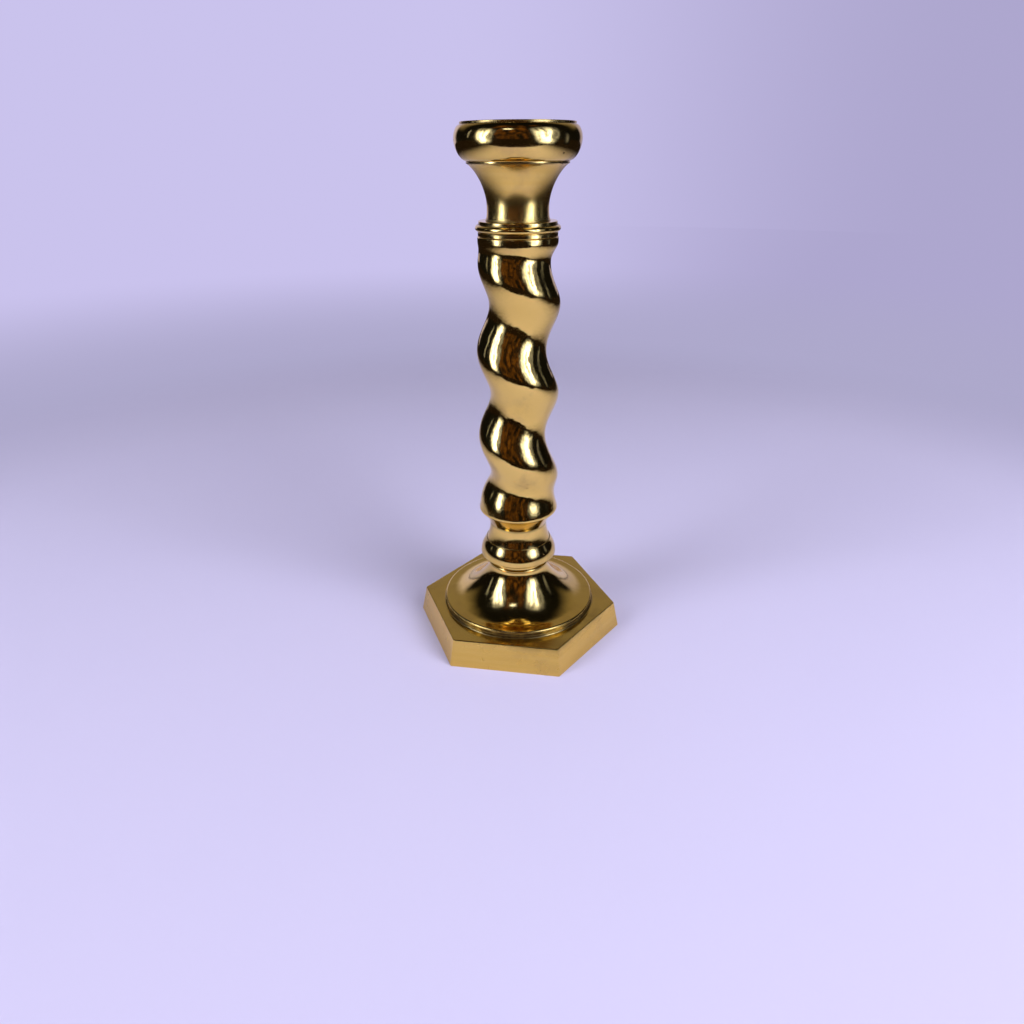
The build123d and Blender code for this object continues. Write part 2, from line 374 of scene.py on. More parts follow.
class Shader:
    """Small helper that adds and links the nodes of a material or a world."""

    def __init__(self, owner: bpy.types.Material | bpy.types.World) -> None:
        """Turns the owner's nodes on and empties them.

        Args:
            owner: The material or world.
        """
        owner.use_nodes = True
        self.tree = owner.node_tree
        self.tree.nodes.clear()

    def node(self, kind: str, inputs: dict | None = None, **settings: object) -> Node:
        """Adds a node.

        Args:
            kind: Blender's name of the node type, without its prefix.
            inputs: Values or sockets for the node's inputs, by name or index.
            settings: Properties of the node.

        Returns:
            The node.
        """
        made = self.tree.nodes.new("ShaderNode" + kind)
        for key, value in settings.items():
            setattr(made, key, value)
        for key, value in (inputs or {}).items():
            socket = made.inputs[key]
            if isinstance(value, Socket):
                self.tree.links.new(value, socket)
            else:
                socket.default_value = value
        return made

    def math(self, operation: str, first: object, second: object = 0.0) -> Socket:
        """Output of a math node."""
        return self.node("Math", {0: first, 1: second}, operation=operation).outputs[0]

    def times(self, first: object, second: object) -> Socket:
        """Product of two numbers."""
        return self.math("MULTIPLY", first, second)

    def step(self, value: Socket, low: float, high: float) -> Socket:
        """Output that rises smoothly from 0 at low to 1 at high."""
        ends = {"Value": value, "From Min": low, "From Max": high}
        return self.node("MapRange", ends, interpolation_type="SMOOTHSTEP").outputs["Result"]

    def ramp(self, value: Socket, first: float, last: float) -> Socket:
        """Output that goes evenly from first to last as the value goes from 0 to 1."""
        return self.node("MapRange", {"Value": value, "To Min": first, "To Max": last}).outputs["Result"]

    def mix(self, share: object, first: object, second: object) -> Socket:
        """Colour between two colours."""
        return self.node("Mix", {0: share, 6: rgba(first), 7: rgba(second)}, data_type="RGBA").outputs[2]

    def attribute(self, channel: Channel) -> Socket:
        """Number stored on the mesh's vertices under a channel's name."""
        return self.node("Attribute", attribute_name=channel.value).outputs["Fac"]

    def place(self, kind: str = "Object") -> Socket:
        """Texture coordinates."""
        return self.node("TexCoord").outputs[kind]

    def parts(self, vector: Socket) -> bpy.types.NodeOutputs:
        """X, Y and Z of a vector."""
        return self.node("SeparateXYZ", {0: vector}).outputs

    def noise(self, vector: object, scale: float, detail: float = 3.0, rough: float = 0.5) -> Socket:
        """Grey value of a noise texture."""
        inputs = {"Vector": vector, "Scale": scale, "Detail": detail, "Roughness": rough}
        return self.node("TexNoise", inputs).outputs["Fac"]

    def stretched(self, vector: object, scale: Spot, turn: Spot = UNTURNED) -> Socket:
        """Coordinates turned and then stretched by a factor along each axis."""
        return self.node("Mapping", {"Vector": vector, "Rotation": turn, "Scale": scale}).outputs["Vector"]

    def grain(
        self, vector: object, scale: Spot, turn: Spot = UNTURNED, detail: float = 2.0, rough: float = 0.5
    ) -> Socket:
        """Grey value of a noise texture that is turned and stretched."""
        return self.noise(self.stretched(vector, scale, turn), 1.0, detail, rough)

    def bump(self, height: object, depth: float, normal: Socket | None = None) -> Socket:
        """Normal bent by a height of 0 to 1 that stands for a depth in millimetres.

        Args:
            height: The height.
            depth: Depth that a height of 1 stands for.
            normal: Normal that is bent, or none for the surface's own.

        Returns:
            The bent normal.
        """
        inputs = {"Height": height, "Distance": depth * MM, "Strength": 1.0}
        if normal is not None:
            inputs["Normal"] = normal
        return self.node("Bump", inputs).outputs["Normal"]

    def glow(self, colour: object, strength: object = 1.0) -> Node:
        """Glowing shader."""
        return self.node("Emission", {"Color": rgba(colour), "Strength": strength})

    def blend(self, share: Socket, first: Node, second: Node) -> Node:
        """Shader between two shaders."""
        return self.node("MixShader", {0: share, 1: first.outputs[0], 2: second.outputs[0]})

    def surface(self, shader: Node) -> None:
        """Makes a shader the material's surface."""
        self.node("OutputMaterial", {"Surface": shader.outputs[0]})

    def metal(self, colour: Socket, rough: Socket, normal: Socket) -> None:
        """Makes bare metal the material's surface."""
        inputs = {"Base Color": colour, "Metallic": 1.0, "Roughness": rough, "Normal": normal}
        self.surface(self.node("BsdfPrincipled", inputs))


@dataclass(frozen=True)
class BrassFinish:
    """Hand-polished brass with hairlines, small casting pits, a thin brown film, and painted shade with some
    oxide in its seams.
    """

    name: str
    metal: Colour = (0.90, 0.64, 0.17)
    warm: Colour = (0.84, 0.55, 0.11)
    # dark brown that oxide and painted shade in the seams both mix towards; the casting pits take it too
    tarnish_and_shade: Colour = (0.055, 0.030, 0.010)
    film: Colour = (0.46, 0.30, 0.12)
    gloss: float = 0.105
    satin: float = 0.26
    dirt_and_shade_gloss: float = 0.3
    dirt_and_shade_step: Pair = (0.25, 0.6)
    cloud_scale: float = 30.0
    cloud_step: Pair = (0.4, 0.75)
    cloud_share: float = 0.45
    film_scale: float = 58.0
    film_step: Pair = (0.48, 0.74)
    film_share: float = 0.5
    smudge_scale: float = 120.0
    smudge_step: Pair = (0.45, 0.8)
    smudge_gloss: float = 0.03
    hairline_scales: tuple[Spot, Spot] = ((2600.0, 2600.0, 90.0), (120.0, 2400.0, 2400.0))
    hairline_turns: tuple[Spot, Spot] = ((0.35, 0.15, 0.0), (0.2, -0.3, 0.6))
    hairline_depth: float = 0.0016
    wave_scale: float = 60.0
    wave_depth: float = 0.08
    ripple_scale: float = 230.0
    ripple_depth: float = 0.045
    brush_scale: Spot = (16.0, 16.0, 420.0)
    brush_step: Pair = (0.35, 0.7)
    brush_share: float = 0.5
    pit_scale: float = 210.0
    pit_size: float = 0.11
    pit_share: float = 0.035
    pit_depth: float = 0.05

    def pits(self, s: Shader, place: Socket) -> Socket:
        """Scattered small pits.

        Args:
            s: The material's nodes.
            place: Coordinates of the surface.

        Returns:
            1 in a pit and 0 beside it.
        """
        spots = s.node("TexVoronoi", {"Vector": place, "Scale": self.pit_scale})
        chosen = s.node("SeparateColor", {0: spots.outputs["Color"]}).outputs[0]
        near = s.step(spots.outputs["Distance"], self.pit_size, self.pit_size / 2)
        return s.times(near, s.math("LESS_THAN", chosen, self.pit_share))

    def hairlines(self, s: Shader, place: Socket) -> Socket:
        """Fine polishing lines that cross at two slants."""
        ways = zip(self.hairline_scales, self.hairline_turns)
        return s.times(*(s.grain(place, scale, turn) for scale, turn in ways))

    def colour(self, s: Shader, place: Socket, satin: Socket, dirt_and_shade: Socket) -> Socket:
        """Colour of the metal under its clouds, brushed streaks, film, pits and painted seam shade with some
        oxide.

        Args:
            s: The material's nodes.
            place: Coordinates of the surface.
            satin: Share of satin in the finish.
            dirt_and_shade: Share of the dark pits and of painted shade with some oxide.

        Returns:
            The colour.
        """
        clouds = s.step(s.noise(place, self.cloud_scale, detail=4.0, rough=0.55), *self.cloud_step)
        streaks = s.step(s.grain(place, self.brush_scale, detail=4.0, rough=0.6), *self.brush_step)
        brushed = s.times(satin, s.math("SUBTRACT", 1.0, s.times(streaks, self.brush_share)))
        warmth = s.math("MAXIMUM", s.times(clouds, self.cloud_share), brushed)
        film = s.step(s.noise(place, self.film_scale, detail=5.0, rough=0.6), *self.film_step)
        colour = s.mix(warmth, self.metal, self.warm)
        colour = s.mix(s.times(film, self.film_share), colour, self.film)
        # mixes in the painted seam shade with some oxide, and the dark pits
        return s.mix(dirt_and_shade, colour, self.tarnish_and_shade)

    def material(self) -> bpy.types.Material:
        """Builds the finish's node material.

        Returns:
            The material.
        """
        made = bpy.data.materials.new(self.name)
        s = Shader(made)
        place = s.place()
        satin = s.attribute(Channel.SATIN)
        smudge = s.noise(place, self.smudge_scale, detail=5.0, rough=0.6)
        pit = self.pits(s, place)
        # painted shade in the seams, with some oxide, broken up by smudges, plus the dark casting pits
        dirt_and_shade = s.math("MAXIMUM", s.times(s.attribute(Channel.GRIME_AND_SHADE), s.step(smudge, *self.dirt_and_shade_step)), pit)
        smear = s.times(s.step(smudge, *self.smudge_step), self.smudge_gloss)
        rough = s.node("Mix", {0: satin, 2: self.gloss, 3: self.satin}).outputs[0]
        rough = s.math("ADD", s.math("ADD", rough, smear), s.times(dirt_and_shade, self.dirt_and_shade_gloss))
        normal = s.bump(s.noise(place, self.wave_scale, detail=2.0), self.wave_depth)
        normal = s.bump(s.noise(place, self.ripple_scale, detail=2.0), self.ripple_depth, normal)
        normal = s.bump(self.hairlines(s, place), self.hairline_depth, normal)
        normal = s.bump(s.math("SUBTRACT", 1.0, pit), self.pit_depth, normal)
        s.metal(self.colour(s, place, satin, dirt_and_shade), rough, normal)
        return made


@dataclass(frozen=True)
class SteelFinish:
    """Plain or zinc-plated steel with drawn lines, rust freckles and dull patches."""

    name: str
    metal: Colour
    dull: Colour
    rust: Colour = (0.13, 0.05, 0.018)
    gloss: float = 0.26
    dull_scale: float = 160.0
    dull_step: Pair = (0.35, 0.7)
    dull_gloss: float = 0.2
    rust_scale: float = 700.0
    rust_share: float = 0.62
    rust_border: float = 0.12
    rust_gloss: float = 0.35
    rust_depth: float = 0.02
    line_scale: Spot = (4000.0, 4000.0, 150.0)
    line_depth: float = 0.004

    def material(self) -> bpy.types.Material:
        """Builds the finish's node material.

        Returns:
            The material.
        """
        made = bpy.data.materials.new(self.name)
        s = Shader(made)
        place = s.place()
        cloud = s.noise(place, self.dull_scale, detail=5.0, rough=0.6)
        freckle = s.noise(place, self.rust_scale, detail=6.0, rough=0.65)
        freckle = s.step(freckle, self.rust_share, self.rust_share + self.rust_border)
        lines = s.grain(place, self.line_scale)
        colour = s.mix(s.step(cloud, *self.dull_step), self.metal, self.dull)
        rough = s.ramp(cloud, self.gloss, self.gloss + self.dull_gloss)
        rough = s.math("ADD", rough, s.times(freckle, self.rust_gloss))
        normal = s.bump(freckle, self.rust_depth, s.bump(lines, self.line_depth))
        s.metal(s.mix(freckle, colour, self.rust), rough, normal)
        return made


@dataclass
class Piece:
    """One dressed piece that stands for a node of the frame."""

    node: str
    body: Body
    slot: Slot
    finish: bpy.types.Material

    def mesh(self) -> Mesh:
        """Builds the piece's mesh."""
        raise NotImplementedError

    def seams(self) -> list[Seam]:
        """Places that get painted shade, with some oxide."""
        return []

    def grime_and_shade(self, spot: Spot, facing: Vector) -> float:
        """Painted shade with some oxide at a point, from 0 to 1, where the surface faces a direction."""
        return min(sum(seam.at(spot) for seam in self.seams()), 1.0)

    def satin(self, spot: Spot) -> float:
        """How far the finish at a point is from mirror to satin, from 0 to 1."""
        return 0.0

    def dress(self) -> None:
        """Makes the piece's object, with its finish, its body and the node that it stands for."""
        mesh = self.mesh()
        spots = [(v.co.x / MM, v.co.y / MM, v.co.z / MM) for v in mesh.vertices]
        facings = [v.normal.copy() for v in mesh.vertices]
        # stores each piece's painted shade with some oxide, and its satin share
        paint(mesh, Channel.GRIME_AND_SHADE, [self.grime_and_shade(spot, facing) for spot, facing in zip(spots, facings)])
        paint(mesh, Channel.SATIN, [self.satin(spot) for spot in spots])
        mesh.materials.append(self.finish)
        made = put(self.node + "_dressed", mesh)
        made.modifiers.new("even_normals", "WEIGHTED_NORMAL").weight = NORMAL_WEIGHT
        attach(made, self.body.value)
        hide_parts(self.node)
        LOG.info("%s: %d faces on %s", made.name, len(mesh.polygons), self.body.value)


@dataclass
class Fits:
    """Levels and fits that neighbouring pieces share."""

    knop_seat: float
    stem_seat: float
    collar_seat: float
    cup_seat: float
    cup_top: float
    spigot_radius: float = 9.0
    spigot_height: float = 3.0
    recess_radius: float = 9.2
    recess_depth: float = 3.3
    rod_hole_radius: float = 4.3

    @classmethod
    def from_frame(cls) -> "Fits":
        """Reads the levels from the frame's boxes.

        Returns:
            The levels and fits.
        """
        return cls(
            knop_seat=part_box("knop")[0].z / MM,
            stem_seat=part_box("stem")[0].z / MM,
            collar_seat=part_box("collar")[0].z / MM + cls.spigot_height,
            cup_seat=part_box("candle_cup")[0].z / MM + cls.spigot_height,
            cup_top=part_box("candle_cup")[1].z / MM,
        )


@dataclass
class Section(Piece):
    """Brass piece of the stack, with the fits that it shares with its neighbours."""

    fits: Fits


@dataclass
class Foot(Section):
    """Hollow foot: drafted hexagonal plinth, turned disc, trumpet flare and neck."""

    plinth_height: float = 13.8
    flats_bottom: float = 90.5
    flats_top: float = 85.4
    corner_round: float = 0.8
    edge_round: float = 0.4
    plinth_wall: float = 3.5
    plinth_ceiling: float = 10.2
    ceiling_chamfer: float = 0.3
    disc_top: float = 17.3
    disc_radius: float = 37.5
    disc_round: float = 1.1
    groove_height: float = 1.3
    groove_width: float = 0.4
    groove_depth: float = 0.35
    margin_radius: float = 33.5
    margin_split: float = 0.6
    flare_pull: float = 7.5
    flare_top: float = 35.6
    flare_neck_pull: float = 6.0
    flare_wall: float = 3.6
    neck_radius: float = 14.3
    neck_ring_top: float = 37.2
    neck_ring_bulge: float = 0.9
    web_bottom: float = 29.0
    web_margin: float = 0.5
    cavity_top_radius: float = 11.0
    soft: float = 0.25
    corner_steps: int = 4
    side_steps: int = 19
    side_levels: int = 4
    round_steps: int = 5
    top_shares: tuple[float, ...] = (0.12, 0.5, 0.88)
    top_satin: float = 0.3
    side_satin: float = 1.0
    # how much darker the inside of the hollow is
    hollow_darkening: float = 0.55
    # darkness of the disc's upright side: painted shade
    painted_side_shade: float = 0.85
    side_slope: float = 0.3
    inward_slope: float = -0.1
    down_slope: float = -0.5
    # painted dark reflection along the plinth's top edges, on the front and right bearings
    edge_line: float = 0.18
    edge_dark_reflection: float = 0.9
    edge_margin: float = 2.0
    edge_reflection_from: Pair = (-25.0, 40.0)
    edge_reflection_to: Pair = (95.0, 30.0)

    def half_flats(self, height: float) -> float:
        """Distance from the axis to a side of the plinth at a height."""
        return between(self.flats_bottom, self.flats_top, height / self.plinth_height) / 2

    def hexagon(self, half_flats: float, height: float) -> Ring:
        """Level hexagon with rounded corners.

        Args:
            half_flats: Distance from the axis to each side.
            height: Level of the hexagon.

        Returns:
            The points, anticlockwise from the corner on the X axis.
        """
        reach = (half_flats - self.corner_round) / math.cos(SIXTH / 2)
        bends = []
        for k in range(6):
            aim = SIXTH * k
            middle = (reach * math.cos(aim), reach * math.sin(aim))
            bends.append(arc(middle, self.corner_round, aim - SIXTH / 2, aim + SIXTH / 2, self.corner_steps))
        points: Ring = []
        for k, bend in enumerate(bends):
            side = Profile([bend[-1]])
            side.run(bends[(k + 1) % 6][0], self.side_steps + 1)
            points += [(x, y, height) for x, y in bend + side.points[1:-1]]
        return points

    def round_loop(self, radius: float, height: float) -> Ring:
        """Level circle whose points lie on the same bearings as the hexagon's."""
        spots = self.hexagon(self.flats_top / 2, height)
        return [(x * (radius / width((x, y, z))), y * (radius / width((x, y, z))), z) for x, y, z in spots]

    def plinth_loops(self) -> list[Ring]:
        """Builds the plinth's outside.

        Returns:
            Loops from the rim's inner edge, round the outside and up to the plinth's top.
        """
        soft, high = self.edge_round, self.plinth_height - self.edge_round
        side = arc((-soft, soft), soft, -math.pi / 2, 0.0, self.round_steps)
        side += [(0.0, between(soft, high, i / self.side_levels)) for i in range(1, self.side_levels)]
        side += arc((-soft, high), soft, 0.0, math.pi / 2, self.round_steps)
        rim = self.hexagon(self.flats_bottom / 2 - self.plinth_wall, 0.0)
        return [rim, *(self.hexagon(self.half_flats(z) + aside, z) for aside, z in side)]

    def turned_profile(self) -> list[Point]:
        """Draws the turned part.

        Returns:
            Half section from the disc's foot, over the flare and the spigot, and down the hollow.
        """
        f = self.fits
        disc, top, groove = self.disc_radius, self.disc_top, self.plinth_height + self.groove_height
        half = Profile([(disc, self.plinth_height)])
        half.upright(groove, disc - self.groove_depth, groove + self.groove_width, disc)
        half.upright(top - self.disc_round)
        half.quarter((disc, top), (disc - self.disc_round, top), steps=8)
        half.across(between(disc, self.margin_radius, self.margin_split))
        half.across(self.margin_radius)
        half.curve(
            (self.margin_radius - self.flare_pull, top),
            (self.neck_radius, self.flare_top - self.flare_neck_pull),
            (self.neck_radius, self.flare_top),
            steps=36,
        )
        half.bead(self.neck_ring_bulge, self.neck_ring_top, steps=12)
        half.upright(f.knop_seat, f.spigot_radius, f.knop_seat + f.spigot_height, f.rod_hole_radius)
        half.upright(self.web_bottom, self.cavity_top_radius)
        ceiling = top - self.flare_wall
        half.curve(
            (self.cavity_top_radius, self.web_bottom - self.flare_neck_pull),
            (self.margin_radius - self.flare_pull, ceiling),
            (self.margin_radius, ceiling),
            steps=24,
        )
        half.upright(self.plinth_ceiling)
        return half.softened(self.soft, False)

    def mesh(self) -> Mesh:
        """Builds the foot as one closed skin, hollow underneath.

        Returns:
            The mesh.
        """
        loops = self.plinth_loops()
        edge = self.hexagon(self.flats_top / 2 - self.edge_round, self.plinth_height)
        disc = self.round_loop(self.disc_radius, self.plinth_height)
        for share in self.top_shares:
            loops.append([tuple(Vector(a).lerp(Vector(b), share)) for a, b in zip(edge, disc)])
        loops += [self.round_loop(r, z) for r, z in self.turned_profile()]
        inner = self.half_flats(self.plinth_ceiling) - self.plinth_wall
        loops.append(self.hexagon(inner - self.ceiling_chamfer, self.plinth_ceiling))
        loops.append(self.hexagon(inner, self.plinth_ceiling - self.ceiling_chamfer))
        return skin("foot_casting", loops, closed=True)

    def seams(self) -> list[Seam]:
        """Painted shade with some oxide round the disc's foot, in its groove and at the neck.

        Returns:
            The seams.
        """
        return [
            # painted shadow line where the disc meets the plinth's top
            Seam(self.disc_radius, self.plinth_height, 0.4, 0.9),
            Seam(self.disc_radius - self.groove_depth, self.plinth_height + self.groove_height, 0.35, 0.9),
            Seam(self.neck_radius, self.fits.knop_seat, 1.4, 0.8),
            Seam(self.neck_radius, self.flare_top, 0.5, 0.5),
        ]

    def grime_and_shade(self, spot: Spot, facing: Vector) -> float:
        """Painted seam shade with some oxide, a darker hollow, painted shade on the disc's upright side and a
        painted dark reflection along the top edges of the plinth's front and right.

        Args:
            spot: The point.
            facing: Direction that the surface faces there.

        Returns:
            The darkening, from 0 to 1.
        """
        x, y, z = spot
        # painted shade on the disc's upright side
        on_side = width(spot) > self.disc_radius - self.groove_depth and z > self.plinth_height
        if on_side and facing.z < self.side_slope:
            return self.painted_side_shade
        # darker inside the hollow
        inside = x * facing.x + y * facing.y < self.inward_slope or facing.z < self.down_slope
        if inside and z < self.web_bottom + self.web_margin:
            return self.hollow_darkening
        dirt_and_shade = super().grime_and_shade(spot, facing)
        if width(spot) <= self.disc_radius + self.edge_margin:
            return dirt_and_shade
        # painted dark reflection along the plinth's top edges, faded in and out by bearing
        bearing = math.degrees(math.atan2(y, x)) + 90
        edge_reflection = ease((bearing - self.edge_reflection_from[0]) / self.edge_reflection_from[1])
        edge_reflection *= ease((self.edge_reflection_to[0] - bearing) / self.edge_reflection_to[1])
        edge = math.exp(-(((z - self.plinth_height + self.edge_round / 2) / self.edge_line) ** 2))
        return max(dirt_and_shade, edge * edge_reflection * self.edge_dark_reflection)

    def satin(self, spot: Spot) -> float:
        """Satin on the plinth's and the disc's sides, less on the plinth's top and none on the flare.

        Args:
            spot: The point.

        Returns:
            The share of satin, from 0 to 1.
        """
        if spot[2] < self.plinth_height - self.edge_round or width(spot) < self.cavity_top_radius:
            return 1.0
        if spot[2] <= self.plinth_height:
            return self.top_satin
        return self.side_satin if width(spot) > self.disc_radius - self.groove_depth else 0.0


@dataclass
class Knop(Section):
    """Bell-shaped turned section between the foot and the stem."""

    crown_radius: float = 17.0
    crown_height: float = 6.7
    crown_land: float = 0.5
    crown_lean: float = 0.35
    neck_radius: float = 13.75
    neck_drop: float = 7.9
    shoulder_radius: float = 15.4
    shoulder_height: float = 8.7
    ledge: float = 0.3
    belly_radius: float = 18.5
    belly_fullness: float = 0.51
    belly_lean: float = 0.34
    belly_top_pull: float = 0.25
    cove_near: Pair = (0.58, 0.31)
    cove_far: Pair = (1.0, 0.66)
    edge_round: float = 0.8
    web: float = 7.0
    under_steps: int = 6
    # how far in from the belly's edge the painted shade under it lies
    under_shade_inset: float = 4.0
    soft: float = 0.12

    def mesh(self) -> Mesh:
        """Builds the knop, cored from below up to its web.

        Returns:
            The mesh.
        """
        f = self.fits
        seat, top = f.knop_seat, f.stem_seat
        belly, ledge = seat + self.edge_round, seat + self.shoulder_height
        crown_low, crown_top = top - self.crown_height, top - self.crown_land
        lean = between(self.shoulder_radius, self.belly_radius, self.belly_lean)
        half = Profile([(f.recess_radius, seat)])
        half.run((self.belly_radius - self.edge_round, seat), self.under_steps)
        half.quarter((self.belly_radius, seat), (self.belly_radius, belly))
        half.curve(
            (self.belly_radius, between(belly, ledge, self.belly_fullness)),
            (lean, between(ledge, belly, self.belly_top_pull)),
            (self.shoulder_radius + self.ledge, ledge),
        )
        half.across(self.shoulder_radius)
        half.bow(self.cove_near, self.cove_far, (self.neck_radius, top - self.neck_drop))
        half.upright(crown_low)
        half.sweep(
            (between(self.neck_radius, self.crown_radius, self.crown_lean), (crown_low + crown_top) / 2),
            (self.crown_radius, crown_top),
        )
        half.upright(top, f.spigot_radius, top + f.spigot_height, f.rod_hole_radius)
        half.upright(top - self.web, f.recess_radius)
        return skin("knop_turning", half.rings(self.soft, True), closed=True)

    def seams(self) -> list[Seam]:
        """Painted shade with some oxide under the stem's bell, at the ledge and under the belly.

        Returns:
            The seams.
        """
        f = self.fits
        return [
            Seam(self.crown_radius, f.stem_seat, 0.8, 0.8),
            Seam(self.neck_radius, f.stem_seat - self.crown_height, 0.35, 0.6),
            Seam(self.shoulder_radius, f.knop_seat + self.shoulder_height, 0.35, 0.8),
            # painted shade under the belly
            Seam(self.belly_radius - self.under_shade_inset, f.knop_seat, 2.6, 2.0),
        ]


@dataclass
class TwistStem(Section):
    """Round section whose centre winds left-handed round the axis, with a bell below and a band above."""

    pitch: float = 39.0
    start: float = 178.5
    throw: float = 2.83
    foot_fade: float = 17.2
    top_fade: float = 28.0
    radius_bottom: float = 15.36
    radius_top: float = 15.15
    bell_radius: float = 18.7
    bell_height: float = 28.0
    bell_power: float = 1.95
    bell_edge: float = 1.4
    bell_round: float = 1.0
    # how far in from the bell's round the painted shade under it lies
    bell_shade_inset: float = 1.0
    band_radius: float = 16.6
    band_height: float = 3.2
    band_round: float = 0.6
    band_blend: float = 1.1
    band_steps: int = 8
    cove_height: float = 6.0
    cove_power: float = 1.8
    web: float = 8.0
    soft: float = 0.1
    levels: int = 260

    def band_share(self, height: float) -> float:
        """How far the section has become the band, blended at the band's lower edge.

        Args:
            height: Level of the section.

        Returns:
            The share, from 0 to 1.
        """
        top = self.fits.collar_seat - self.band_height
        total = 0.0
        for i in range(self.band_steps + 1):
            level = height + between(-self.band_blend, self.band_blend, i / self.band_steps)
            total += limited(1 - (top - level) / self.cove_height) ** self.cove_power
        return total / (self.band_steps + 1)

    def section(self, height: float) -> Ring:
        """Level circle of the twist.

        Args:
            height: Level of the circle.

        Returns:
            The circle.
        """
        f = self.fits
        bottom, top = f.stem_seat + self.bell_edge, f.collar_seat - self.band_height
        rise = height - bottom
        bell = max(1 - rise / self.bell_height, 0.0) ** self.bell_power
        band = self.band_share(height)
        plain = between(self.radius_bottom, self.radius_top, rise / (top - bottom))
        radius = between(between(plain, self.bell_radius, bell), self.band_radius, band)
        dying = max(1 - (f.collar_seat - height) / self.top_fade, 0.0) ** 2
        throw = self.throw * ease(rise / self.foot_fade) * (1 - dying) * (1 - band)
        angle = math.radians(self.start - 360 * (height - f.stem_seat) / self.pitch)
        return circle(radius, height, middle=(throw * math.cos(angle), throw * math.sin(angle)))

    def mesh(self) -> Mesh:
        """Builds the twist, cored from below up to its web.

        Returns:
            The mesh.
        """
        f = self.fits
        seat, high = f.stem_seat, f.collar_seat
        bottom, top = seat + self.bell_edge, high - self.band_height + self.band_blend
        bell, band = self.bell_radius, self.band_radius
        lower = Profile([(f.recess_radius, seat)])
        lower.across(bell - self.bell_round)
        lower.quarter((bell, seat), (bell, seat + self.bell_round), steps=10)
        upper = Profile([(band, high - self.band_round)])
        upper.quarter((band, high), (band - self.band_round, high))
        upper.across(f.recess_radius, high - f.recess_depth, f.rod_hole_radius)
        upper.upright(high - self.web, f.recess_radius)
        rings = lower.rings(self.soft, False)
        rings += [self.section(between(bottom, top, i / self.levels)) for i in range(self.levels + 1)]
        rings += upper.rings(self.soft, False)
        return skin("stem_twist", rings, closed=True)

    def seams(self) -> list[Seam]:
        """Painted shade with some oxide under the bell and at the band's top edge.

        Returns:
            The seams.
        """
        return [
            # painted shade under the bell
            Seam(self.bell_radius - self.bell_round - self.bell_shade_inset, self.fits.stem_seat, 1.2, 0.7),
            Seam(self.band_radius, self.fits.collar_seat, 0.45, 0.8),
        ]


@dataclass
class Collar(Section):
    """Turned ring between the stem and the cup: fillet, groove, half-round bead and shoulder."""

    fillet_radius: float = 16.35
    fillet_height: float = 1.5
    groove_width: float = 0.3
    groove_depth: float = 0.45
    bead_height: float = 2.5
    bead_bulge: float = 1.4
    shoulder_radius: float = 16.05
    cup_foot_radius: float = 13.2
    soft: float = 0.3

    def mesh(self) -> Mesh:
        """Builds the collar round the rod's hole.

        Returns:
            The mesh.
        """
        f = self.fits
        groove = f.collar_seat + self.fillet_height
        bead = groove + self.groove_width
        half = Profile([(f.rod_hole_radius, f.collar_seat - f.spigot_height)])
        half.across(f.spigot_radius, f.collar_seat, self.fillet_radius, groove)
        half.across(self.fillet_radius - self.groove_depth, bead, self.shoulder_radius)
        half.bead(self.bead_bulge, bead + self.bead_height, steps=18)
        half.upright(f.cup_seat, f.recess_radius, f.cup_seat - f.recess_depth, f.rod_hole_radius)
        return skin("collar_ring", half.rings(self.soft, True), closed=True)

    def seams(self) -> list[Seam]:
        """Painted shade with some oxide in the groove, over the bead and against the cup.

        Returns:
            The seams.
        """
        groove = self.fits.collar_seat + self.fillet_height
        return [
            # painted shade in the groove
            Seam(self.fillet_radius - self.groove_depth, groove + self.groove_width / 2, 0.6, 1.0),
            Seam(self.shoulder_radius, groove + self.groove_width + self.bead_height, 0.45, 0.9),
            Seam(self.cup_foot_radius, self.fits.cup_seat, 0.9, 0.9),
        ]


